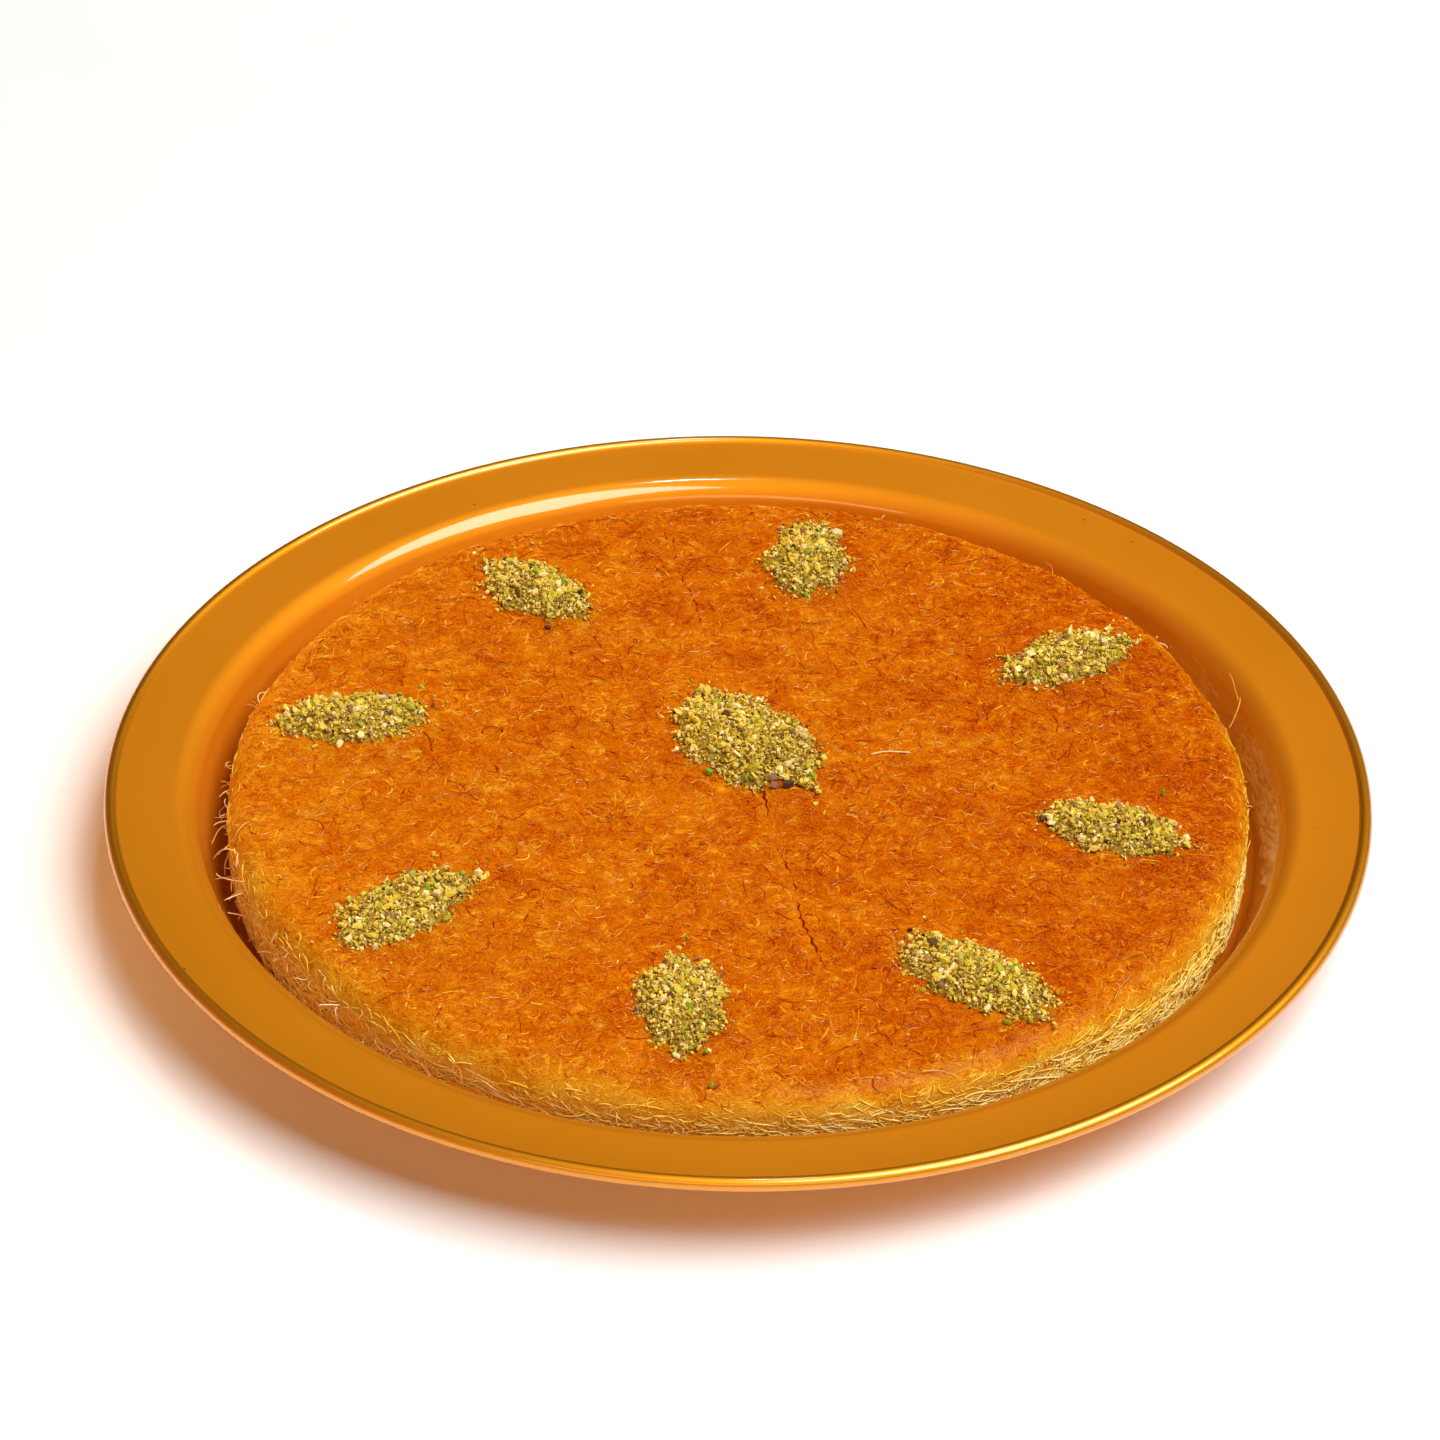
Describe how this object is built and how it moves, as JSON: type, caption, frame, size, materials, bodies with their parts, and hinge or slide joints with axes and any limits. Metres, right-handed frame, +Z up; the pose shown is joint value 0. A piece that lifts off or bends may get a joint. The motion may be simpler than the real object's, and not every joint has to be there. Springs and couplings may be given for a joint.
{
  "type": "kunafa",
  "caption": "Round shredded-pastry dessert, browned and scored into portions, with heaps of crushed pistachio, in a shallow tray with a wide flange and rolled rim.",
  "frame": {"origin": "on the table, under the middle of the tray", "axes": "+Z up; -Y towards the side from which the food is seen; the tray is round about Z"},
  "size_m": [0.4, 0.4, 0.0371],
  "materials": {
    "tray_metal": "spun sheet, gold-orange lacquered, satin",
    "pastry": "baked shredded pastry, browned and syrup-glazed on top, pale strands at the side",
    "pistachio": "dry crushed nut, uneven crumbs of several greens and yellows"
  },
  "bodies": {
    "root": {"tray": "tray_metal", "kunafa": "pastry", "nuts_centre": "pistachio", "nuts_back": "pistachio", "nuts_back_right": "pistachio", "nuts_right": "pistachio", "nuts_front_right": "pistachio", "nuts_front": "pistachio", "nuts_front_left": "pistachio", "nuts_left": "pistachio", "nuts_back_left": "pistachio"}
  },
  "joints": []
}
